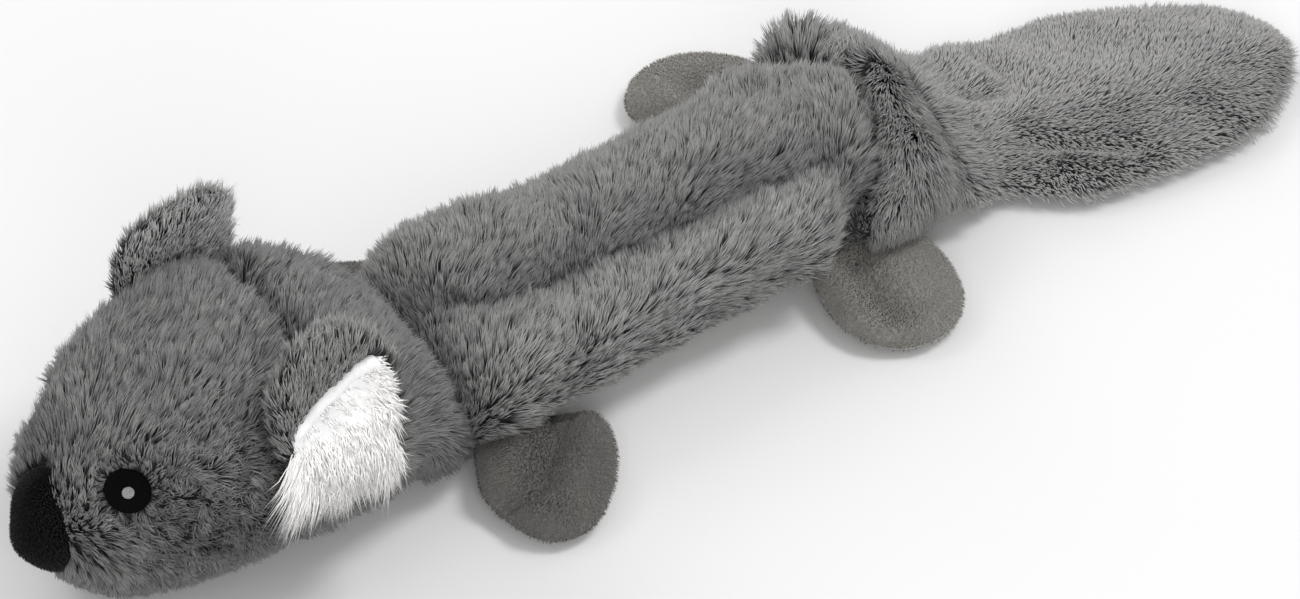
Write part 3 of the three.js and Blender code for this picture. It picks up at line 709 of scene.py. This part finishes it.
def pile_tone(points, zone):
    """Ruffled pile shows its dark roots; painted shade darkens the head and folds, painted light
    the ridge and rump.
    """
    neck = bell(points[:, 1] - NECK[1], 8)
    if zone <= NECK_FRONT:
        # Painted shade over the whole head, in the seam's groove, at two notches on top, in the
        # neck's crease and on the cheeks, whose ruffled pile also shows dark roots; the patches
        # vary at random.
        seam_shade = band(points, HEAD_SEAM, 4) * smoothstep(points[:, 2], 50, 70)
        patches_and_painted_shading = (0.25 + 0.5 * cheek(points)) * wobble(points, 7, 31)
        notch_shade = spot(points, (19, -168, 84), 6) + spot(points, (-28, -161, 80), 6)
        patches_and_painted_shading = patches_and_painted_shading - 1.2 * notch_shade
        return patches_and_painted_shading - 0.34 - 0.45 * cheek(points) - 0.8 * neck - 1.2 * seam_shade
    if zone <= ROOT_FRONT:
        # Painted shade in the valley, the gather and the neck's crease, a painted highlight on the
        # near ridge and painted light on the waist's rear and the rump; the patches vary at
        # random.
        valley_shade = band(points, BODY_VALLEY, 11)
        ridge_highlight = band(points, NEAR_RIDGE, 9)
        gather = band(points, GATHER, 4)
        patches_and_painted_shading = (0.5 if zone in REAR else 0) + 0.2 * wobble(points, 10, 32)
        return 0.35 * ridge_highlight - 0.75 * valley_shade - 1.4 * gather - 0.8 * neck + patches_and_painted_shading
    return 0.25 * wobble(points, 16, 33)


MOST_STRANDS = 19000


def build_long_pile():
    """Strands for each zone, in pieces of no more than MOST_STRANDS"""
    roots, normals = long_form.scatter(pile_density, 101)
    zones = zone_of(roots)
    for zone, (name, *_) in enumerate(ZONES):
        index = np.flatnonzero(zones == zone)
        parts = max(1, math.ceil(len(index) / MOST_STRANDS))
        order = np.argsort(roots[index, 1])
        for number, chosen in enumerate(np.array_split(index[order], parts)):
            p, n = roots[chosen], normals[chosen]
            short = zone >= ROOT_FRONT
            suffix = f"_{number + 1}" if parts > 1 else ""
            piece = strand_mesh(
                f"{name}_pile{suffix}", p, n, comb(p, n), pile_length(p, n, zone_of(p)),
                0.7 if short else 0.75, short_fur if short else grey_fur,
                200 + 10 * zone + number,
                rise=(70, 44) if short else (58, 28) if zone in REAR else (66, 40),
                stray=0.25 + 0.9 * cheek(p),
                gather=0.4 if zone >= WAIST_REAR else 0.62 - 0.15 * cheek(p),
                group=5 if short else 13, tone=pile_tone(p, zone),
            )
            attach(piece, zone)


def build_long_skin():
    stands_for = {
        HEAD: ["face_cover", "head_back_cover", "head_filling"],
        NECK_FRONT: ["neck_cover"],
        NECK_REAR: ["neck_filling"],
        BODY: ["back_cover", "body_filling"],
        WAIST_FRONT: ["waist_cover"],
        WAIST_REAR: ["waist_filling"],
        RUMP: ["rump_cover", "rump_filling"],
        ROOT_FRONT: ["tail_root_cover"],
        ROOT_REAR: ["tail_root_filling"],
        TAIL_END: ["tail_top_panel", "tail_under_panel"],
    }

    def part(zone, cloth):
        """Picks the faces of the zone that are plush (1), velboa (0) or either (None)"""

        def keep(corners):
            plush = (corners[..., 2] > velboa_height(corners)).all(1)
            return (face_zone(corners) == zone) & (cloth is None or plush == cloth)

        return keep

    for zone, (name, *_) in enumerate(ZONES):
        belly = BODY <= zone <= RUMP
        piece = long_form.piece(f"{name}_ground", part(zone, 1 if belly else None), grey_skin)
        attach(piece, zone)
        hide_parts(*stands_for[zone])
        if belly:
            under = long_form.piece(f"{name}_velboa", part(zone, 0), velboa)
            attach(under, zone)
            if zone == BODY:
                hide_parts("belly_panel")
            if zone == RUMP:
                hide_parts("rump_belly")


build_long_skin()
build_long_pile()

# Flaps: ears and paws, each made flat in its own frame: across, along, up


class Flap:
    def __init__(self, root, along, up):
        self.root = np.array(root, float)
        self.along = unit(np.array(along, float))
        up = np.array(up, float)
        self.up = unit(up - (up @ self.along) * self.along)
        self.across = np.cross(self.along, self.up)

    def place(self, local):
        return self.root + self.turn(local)

    def turn(self, local):
        return (
            local[..., :1] * self.across + local[..., 1:2] * self.along + local[..., 2:] * self.up
        )

    def local(self, points):
        d = points - self.root
        return stack(d @ self.across, d @ self.along, d @ self.up)


def flap_surface(flap, rings, shape, columns=96, step=1.4):
    """rings: along, middle, half width, low, high; shape bends the flat form"""
    rings = np.array(rings, float)
    places = np.concatenate([[0], np.cumsum(np.maximum(np.abs(np.diff(rings[:, 0])), 0.4))])
    wanted = np.linspace(0, places[-1], int(places[-1] / step))
    along, middle, half, low, high = spline(places, rings, wanted).T
    across, up = section(half, low, high, columns, upper=2.4, lower=2.4)
    along = np.broadcast_to(along[:, None], across.shape)
    grid = shape(stack(middle[:, None] + across, along, up))
    first = grid[0].mean(0) - [0, 0.4, 0]
    last = grid[-1].mean(0) + [0, 0.4, 0]
    return Surface(flap.place(grid), flap.place(first), flap.place(last))


# Ears

EAR_RINGS = [
    (-7, -1, 12, -2, 2.5), (-4, -1.2, 14.5, -3, 3.5), (0, -1.5, 16.5, -3, 3.6),
    (8, -2.2, 18.3, -3, 3.4), (17, -2.5, 19.7, -2.8, 3), (27, -2.5, 19.5, -2.6, 2.8),
    (35, -2, 17, -2.4, 2.6), (40.5, -1.5, 12.5, -2, 2.4), (43.5, -1, 7.4, -1.6, 2),
    (44.5, -1, 4, -1, 1.4),
]
LINING = [
    (-20, -6), (-19, 7), (-17.8, 17), (-4.5, 27.5), (8, 36), (12, 37), (16.5, 32), (20, 24),
    (30, 20), (30, -8),
]
HEM = [
    (-18.6, 11), (-17.4, 16), (-10.6, 21.5), (-4, 26.5), (2.5, 31), (8, 34.4), (11.5, 35),
    (14, 31.5),
]
LINING_HEIGHT = 3.2


def ear_shape(local):
    """The ear's sides curl outwards, and its middle is hollow."""
    bent = local.copy()
    along = np.clip(local[..., 1] / 46, 0, 1)
    across = local[..., 0] / 24
    hollow = 2.5 * bell(local[..., 1] - 20, 14) * (1 - across**2)
    bent[..., 2] += 6 * along * across**2 - hollow
    return bent


def sheet_height(local):
    """How high the middle of the bent ear's thickness lies there"""
    return ear_shape(local * [1, 1, 0])[..., 2]


def inside_line(points, corners):
    """Which of the flat points lie inside a closed line of corners"""
    x, y = points[..., 0], points[..., 1]
    inside = np.zeros(x.shape, bool)
    for (x0, y0), (x1, y1) in zip(corners, corners[1:] + corners[:1]):
        if y0 == y1:
            continue
        inside ^= ((y0 > y) != (y1 > y)) & (x < (x1 - x0) * (y - y0) / (y1 - y0) + x0)
    return inside


def tube(line, radius, columns=20, step=0.8):
    """A round cord along a line of points, thinner at both ends"""
    line = np.array(line, float)
    places = np.concatenate([[0], np.cumsum(np.linalg.norm(np.diff(line, axis=0), axis=-1))])
    wanted = np.linspace(0, places[-1], int(places[-1] / step))
    spine = spline(places, line, wanted)
    along = unit(np.gradient(spine, axis=0))
    side = unit(np.cross(along, [0, 0, 1.0]))
    up = np.cross(side, along)
    share = np.clip(np.minimum(wanted, places[-1] - wanted) / (radius * 2), 0.04, 1) ** 0.5
    angle = 2 * np.pi * np.arange(columns) / columns
    c, s = np.cos(angle)[None, :, None], np.sin(angle)[None, :, None]
    ring = c * side[:, None] - s * up[:, None]
    return spine, spine[:, None] + ring * (radius * share)[:, None, None]


def build_ear(name, side):
    left = side > 0
    lean, toe = (math.radians(v) for v in ((10, -14) if left else (16, 5)))
    spin = np.array([
        [math.cos(toe), -math.sin(toe), 0], [math.sin(toe), math.cos(toe), 0], [0, 0, 1],
    ])
    along = spin @ np.array([-side * math.sin(lean), 0, math.cos(lean)])
    out = spin @ np.array([side * math.cos(lean), 0, math.sin(lean)])
    flap = Flap((side * 55, -168, 57 if left else 55), along, out)
    rear = np.sign(flap.across[1])
    rings = [
        (place, left * rear * middle, half * (1.12 - 0.12 * left), low, high)
        for place, middle, half, low, high in EAR_RINGS
    ]
    form = flap_surface(flap, rings, ear_shape)

    def lined(points):
        """The white lining covers the outer face, short of the front and upper rim"""
        local = flap.local(points)
        outer = local[..., 2] - sheet_height(local) > 0.2
        return outer & inside_line(local[..., :2] * [rear, 1], LINING)

    ground = form.piece(f"ear_{name}_back_ground", lambda c: ~lined(c.mean(1)), grey_skin)
    lining = form.piece(f"ear_{name}_lining_ground", lambda c: lined(c.mean(1)), white_skin)
    for piece, node, slot in ((ground, f"ear_{name}_back", "grey_plush"),
                              (lining, f"ear_{name}_lining", "white_plush")):
        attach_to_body(piece, f"ear_{name}")
        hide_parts(node)

    line = ear_shape(np.array([(x * rear, y, 0) for x, y in HEM], float))
    spine, rings = tube(line + [0, 0, LINING_HEIGHT], 2.6)
    rings = rings + grid_normals(rings) * (0.3 * wobble(rings, 6, 77))[..., None]
    cord = Surface(flap.place(rings), flap.place(spine[0]), flap.place(spine[-1]))
    if rear < 0:
        cord.quads, cord.caps = cord.quads[:, ::-1], cord.caps[:, ::-1]
    hem = cord.piece(f"ear_{name}_hem", every, white_skin)
    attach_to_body(hem, f"ear_{name}")

    roots, normals = form.scatter(lambda p, n: np.full(len(p), 2.0), 31 + side)
    white = lined(roots)
    local = flap.local(roots)
    rim = (
        (local[:, 0] * rear > 9) & (local[:, 1] < 26) & (local[:, 2] > sheet_height(local) - 1.5)
    )
    grey = ~white & (local[:, 1] > -3) & ~rim
    p, n, l = roots[grey], normals[grey], local[grey]
    radial = stack(l[:, 0] * 0.6 + 7 * rear, l[:, 1] + 8, np.zeros(len(l)))
    ways = flap.turn(unit(radial)) + 0.15 * n
    lengths = (11 if left else 9.5) * (0.7 + 0.3 * smoothstep(l[:, 1], 0, 20))
    # The grey pile on each ear's back is lightened with painted light, the far ear's most; the
    # wobble varies it at random.
    pile = strand_mesh(
        f"ear_{name}_back_pile", p, n, ways, lengths, 0.7, grey_fur, 41 + side,
        rise=(58, 28), gather=0.5, tone=(0.3 if left else 1.0) + 0.3 * wobble(p, 8, 45),
    )
    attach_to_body(pile, f"ear_{name}")

    # The middle of the lining is brushed flat, so that its cloth shows between few strands.
    core = smoothstep(local[:, 1], 8, 16) * (1 - smoothstep(local[:, 0] * rear, 6, 12))
    random = np.random.default_rng(35 + side)
    white &= random.uniform(size=len(white)) > 0.85 * core
    p, n, l = roots[white], normals[white], local[white]
    back, down = np.array([rear, -0.35, 0]), np.array([0, -1.0, 0])
    low = (1 - smoothstep(l[:, 1], 6, 30))[:, None]
    ways = flap.turn(unit(back * (1 - low) + down * (low + 0.2)))
    foot = 1 - smoothstep(l[:, 1], 2, 16)
    rear_edge = smoothstep(l[:, 0] * rear, 6, 14) * (1 - smoothstep(l[:, 1], 16, 30))
    pile = strand_mesh(
        f"ear_{name}_lining_pile", p, n, ways, 4.5 + 8 * foot + 7 * rear_edge, 0.9, white_fur,
        51 + side, rise=(18, 5), gather=0.4, group=10, sag=0.06, stray=0.35,
    )
    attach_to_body(pile, f"ear_{name}")

    # Long wisps hang from the foot of the lining over the cheek.
    random = np.random.default_rng(61 + side)
    count = 1100
    across, along = random.uniform(-20, 15, count) * rear, random.uniform(-4, 9, count)
    local = stack(across, along, np.full(count, LINING_HEIGHT))
    p = flap.place(ear_shape(local))
    n = np.broadcast_to(unit(flap.up + np.array([0, 0, -0.35])), p.shape)
    fan = stack(across * 0.015 - 0.15 * rear, np.full(count, -1.0), np.zeros(count))
    forward = 1 - smoothstep(across * rear, -18, 14)
    pile = strand_mesh(
        f"ear_{name}_wisps", p, n, flap.turn(fan), random.uniform(8, 17, count) + 11 * forward,
        0.6, white_fur, 71 + side, rise=(34, 14), gather=0.6, group=18, sag=0.06, stray=0.3,
    )
    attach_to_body(pile, f"ear_{name}")


for name, side in (("left", 1), ("right", -1)):
    build_ear(name, side)

# Paws

PAW_ROOT_HEIGHT, PAW_THICKNESS = 10, 7.5
LOWEST_PAW = 0.6


def build_paw(name, root, bearing, rings, shape, fold, depth, cloth, tone, seed):
    """It slopes from its root down to the floor. fold: a line of (x, y) corners on the floor
    below the fold in the upper face, and depth how deep it is"""
    drop = PAW_ROOT_HEIGHT - PAW_THICKNESS / 2 - LOWEST_PAW
    length = rings[-1][0]
    droop = math.asin(drop / length)
    out = math.radians(bearing)
    along = np.array([
        math.cos(out) * math.cos(droop), math.sin(out) * math.cos(droop), -math.sin(droop),
    ])
    flap = Flap((*root, PAW_ROOT_HEIGHT), along, (0, 0, 1))
    form = flap_surface(flap, rings, shape)
    away = line_distance(form.points, fold)
    folded = depth * (bell(away, 5.5) - 0.32 * bell(away - 13, 6))
    form.points[:, 2] -= folded * smoothstep(form.normals[:, 2], 0, 0.5)
    form.points[:, 2] = np.maximum(form.points[:, 2], LOWEST_PAW)
    upper = form.piece(f"{name}_paw", every, cloth)
    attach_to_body(upper, f"{name}_paw")
    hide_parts(f"{name}_paw_upper", f"{name}_paw_sole")
    roots, normals = form.scatter(lambda p, n: np.where(n[:, 2] < -0.3, 0.15, 2.2), seed)
    spread = flap.local(roots)[:, 0] * 0.04
    ways = flap.turn(stack(spread, np.full(len(roots), 0.6), np.zeros(len(roots))))
    pile = strand_mesh(
        f"{name}_paw_pile", roots, normals, ways, 1.5, 0.36, velboa_fur, seed + 1,
        rise=(72, 48), gather=0.0, group=5, tone=tone + 0.5 * wobble(roots, 18, seed),
    )
    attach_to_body(pile, f"{name}_paw")


FRONT_PAW_RINGS = [
    (-8, 0, 17, -3, 3), (-3, 0, 21, -3.6, 3.8), (4, 0, 24, -3.8, 4.6),
    (14, 0.4, 24.4, -3.8, 5.4), (24, 1.6, 23.2, -3.8, 5.6), (32, 1.6, 19.8, -3.8, 5.2),
    (39.5, 1.2, 15.2, -3.6, 4.8), (44.5, 1.2, 10.4, -3.2, 4), (47.4, 1.5, 5.6, -2.2, 3),
    (48.2, 1.6, 3, -1.2, 2),
]
HIND_PAW_RINGS = [
    (-5, 0, 15, -3, 3), (0, 0, 19.5, -3.6, 4), (8, 0, 23.5, -3.8, 4.8), (20, 0, 25, -3.8, 5.2),
    (31, 0, 24, -3.8, 5.2), (41, 0, 19.5, -3.8, 4.8), (47, 0, 13, -3.4, 4.2),
    (49.6, 0, 7, -2.4, 3), (50.5, 0, 3.5, -1.2, 2),
]


def paw_shape(way, depth):
    """A hollow in the middle and a fuller lobe across from it: way, 1 or -1, is its side"""

    def shape(local):
        bent = local.copy()
        x, y, z = local[..., 0], local[..., 1], local[..., 2]
        upper = smoothstep(z, 0, 2.5)
        lobe = bell(x - way * 13, 9) * bell(y - 24, 16)
        hollow = bell(x - 2, 9) * bell(y - 30, 10)
        bent[..., 2] += upper * ((1 + depth) * lobe - depth * hollow)
        bent[..., 2] += 0.5 * upper * wobble(local * [1, 1, 0], 22, 8)
        return bent

    return shape


FRONT_FOLD = [(39, -70), (47, -78.5), (56.5, -89.5), (62.5, -97), (64, -110)]
LEFT_HIND_FOLD = [(39, 60.5), (52.5, 56), (62, 55), (68, 54)]
RIGHT_HIND_FOLD = [(-55, 82), (-68, 79), (-80, 77)]
# Root and sweep of each front paw, then root, sweep and fold of each hind one. A sweep is how
# many degrees a paw points forward of straight out.
for side, name, front_root, front_sweep, hind_root, hind_sweep, hind_fold in (
    (1, "left", (43, -82), 25, (33.4, 69.2), 14, LEFT_HIND_FOLD),
    (-1, "right", (-43, -85), 48, (-56, 87.5), 25, RIGHT_HIND_FOLD),
):
    front_fold = [(side * x, y) for x, y in FRONT_FOLD]
    # Front paws get painted shade, by the shaded velboa and a low tone; hind paws get painted
    # light, by the lit velboa and a high tone.
    build_paw(
        f"front_{name}", front_root, 90 - side * (90 + front_sweep), FRONT_PAW_RINGS,
        paw_shape(side, 1.4), front_fold, 7, velboa_shaded, -0.8, 300 + side * 5,
    )
    build_paw(
        f"hind_{name}", hind_root, 90 - side * (90 + hind_sweep), HIND_PAW_RINGS,
        paw_shape(-side, 0.4), hind_fold, 3.6, velboa_lit, 0.9, 320 + side * 5,
    )

# Nose and eyes


def ball(centre, radii, tilt, power, taper, rows=40, columns=64):
    """A round form of rings stacked upwards, wider below by taper, tilted about X"""
    angle = np.linspace(0.06, math.pi - 0.06, rows)[:, None]
    around = 2 * np.pi * np.arange(columns)[None] / columns
    ring = np.sin(angle) ** power * (1 + taper * np.cos(angle))
    local = stack(
        np.cos(around) * ring * radii[0], -np.sin(around) * ring * radii[1],
        np.broadcast_to(-np.cos(angle) * radii[2], (rows, columns)),
    )
    c, s = math.cos(math.radians(tilt)), math.sin(math.radians(tilt))
    spin = np.array([[1, 0, 0], [0, c, -s], [0, s, c]])
    return local @ spin.T + np.array(centre, float)


def build_nose():
    grid = ball((0, -252.3, 38.2), (14.3, 14.2, 19.6), tilt=8, power=0.9, taper=0.24)
    grid = grid + grid_normals(grid) * (0.6 * wobble(grid, 20, 17))[..., None]
    form = Surface(grid, grid[0].mean(0), grid[-1].mean(0))
    nose = form.piece("nose", every, black_velboa)
    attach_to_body(nose, "head")
    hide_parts("nose_pad")
    roots, normals = form.scatter(lambda p, n: np.where(p[:, 1] > -247, 0, 3.0), 501)
    ways = np.broadcast_to(np.array([0, 0.6, -0.8]), roots.shape)
    pile = strand_mesh(
        "nose_pile", roots, normals, ways, 1.3, 0.36, black_fur, 502,
        rise=(75, 50), gather=0.0, group=5,
    )
    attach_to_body(pile, "head")


def disc_surface(centre, normal, radius, height, root, seed, oval, tilt=0.0, columns=72):
    """A low dome with a rounded edge and a root that goes into the cloth"""
    level = unit(np.cross([0, 0, 1.0], normal))
    across = level * math.cos(tilt) - np.cross(normal, level) * math.sin(tilt)
    up = np.cross(normal, across)
    profile = [
        (0.99, -root), (1.0, -root * 0.5), (1.0, 0), (0.985, height * 0.45),
        (0.93, height * 0.8), (0.8, height * 0.97), (0.6, height), (0.3, height * 1.02),
        (0.08, height * 1.03),
    ]
    around = 2 * np.pi * np.arange(columns) / columns
    ragged = 1 + 0.012 * np.random.default_rng(seed).normal(size=columns)
    grid = np.stack([
        centre
        + across * (np.cos(around) * ragged * share * radius)[:, None]
        - up * (np.sin(around) * ragged * share * radius * oval)[:, None]
        + normal * rise
        for share, rise in profile
    ])
    return Surface(grid, centre - normal * root, centre + normal * height * 1.03)


def build_eye(name, side):
    eye, sunk, normal = (
        (EYE, 0.2, (0.78, -0.38, 0.5)) if side > 0 else (FAR_EYE, 2.0, (-0.84, -0.38, 0.36))
    )
    normal = unit(np.array(normal))
    centre = eye - normal * sunk
    form = disc_surface(
        centre, normal, 7.9, 1.0, 4.5, 600 + side, oval=0.9, tilt=side * math.radians(25),
    )
    disc = form.piece(f"eye_{name}_disc", every, eye_thread)
    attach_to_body(disc, "head")
    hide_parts(f"eye_{name}")
    form = disc_surface(centre + normal * 1.1, normal, 2.1, 0.5, 0.2, 610 + side, oval=0.95)
    dot = form.piece(f"eye_{name}_dot", every, glint_thread)
    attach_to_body(dot, "head")
    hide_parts(f"eye_{name}_glint")


build_nose()
for name, side in (("left", 1), ("right", -1)):
    build_eye(name, side)

# The squeakers stay as they are, inside the wadding.
for name, node in nodes.items():
    if "squeaker" in name:
        node.data.materials.clear()
        node.data.materials.append(blown_plastic if "bellows" in name else reed_plastic)

# Floor, world and lamps


def build_stage():
    material, tree, shader = new_material("pale_floor", 0.9, specular=0.1)
    colour = ramp_node(tree, noise(tree, Scale=3.0, Detail=2.0), [
        (0.3, (0.78, 0.78, 0.78, 1)), (0.7, (0.8, 0.8, 0.8, 1)),
    ])
    tree.links.new(colour.outputs["Color"], shader.inputs["Base Color"])
    mesh = bpy.data.meshes.new("floor")
    mesh.from_pydata([(-6, -6, 0), (6, -6, 0), (6, 6, 0), (-6, 6, 0)], [], [(0, 1, 2, 3)])
    mesh.materials.append(material)
    floor = add_object("floor", mesh)

    # The camera sees a white world, which lights the toy with about half of that.
    world = bpy.data.worlds.new("world")
    bpy.context.scene.world = world
    world.use_nodes = True
    tree = world.node_tree
    background = tree.nodes["Background"]
    path = add_node(tree, "ShaderNodeLightPath")
    seen = path.outputs["Is Camera Ray"]
    for ray in ("Is Glossy Ray", "Is Transmission Ray"):
        either = add_node(tree, "ShaderNodeMath", operation="MAXIMUM")
        tree.links.new(seen, either.inputs[0])
        tree.links.new(path.outputs[ray], either.inputs[1])
        seen = either.outputs[0]
    level = add_node(tree, "ShaderNodeMapRange")
    level.inputs["To Min"].default_value = 0.55
    level.inputs["To Max"].default_value = 1.0
    tree.links.new(seen, level.inputs["Value"])
    tree.links.new(level.outputs["Result"], background.inputs["Strength"])
    background.inputs["Color"].default_value = (1, 1, 1, 1)


def build_lamp(name, place, size, power):
    """A round lamp that shines at the origin: place and size in metres, power in watts"""
    data = bpy.data.lights.new(name, "AREA")
    data.shape = "DISK"
    data.size = size
    data.energy = power
    lamp = add_object(name, data)
    back = unit(np.array(place, float))
    right = unit(np.cross([0, 0, 1.0], back))
    lamp.matrix_world = placed(right, np.cross(back, right), back, place)


build_stage()
build_lamp("key_lamp", (0.5, 0.9, 1.9), 0.8, 18)
build_lamp("front_lamp", (-1.2, -0.9, 1.2), 1.0, 8)
build_lamp("far_lamp", (-1.6, 0.8, 0.7), 1.0, 9)
build_lamp("fill_lamp", (1.4, -0.9, 0.9), 1.0, 12)
bpy.context.scene.view_settings.view_transform = "Standard"
